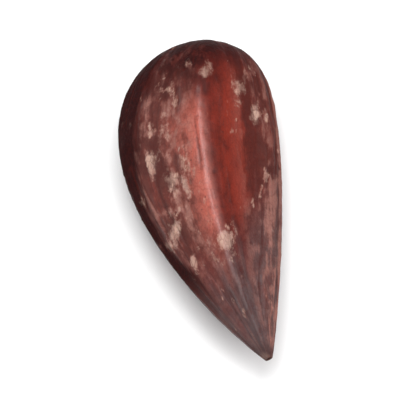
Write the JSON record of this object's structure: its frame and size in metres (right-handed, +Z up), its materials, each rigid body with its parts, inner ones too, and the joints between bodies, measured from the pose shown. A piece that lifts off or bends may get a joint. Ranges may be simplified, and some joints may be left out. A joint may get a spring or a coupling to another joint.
{
  "type": "quince seed",
  "caption": "Dried quince seed: a flattened brown drop with a blunt end, a bent point and a low keel, lying on its broad side.",
  "frame": {"origin": "middle of the seed's bounding box, on the surface that it lies on", "axes": "+Y towards the blunt end along the seed's length, +X towards the side that the point bends to, +Z up through the keel"},
  "size_m": [0.004, 0.008, 0.0026],
  "materials": {
    "seed_coat": "satin mahogany coat with a thin dried film, paler on the keel and darker at the margins"
  },
  "bodies": {
    "root": {"seed": "seed_coat"}
  },
  "joints": []
}
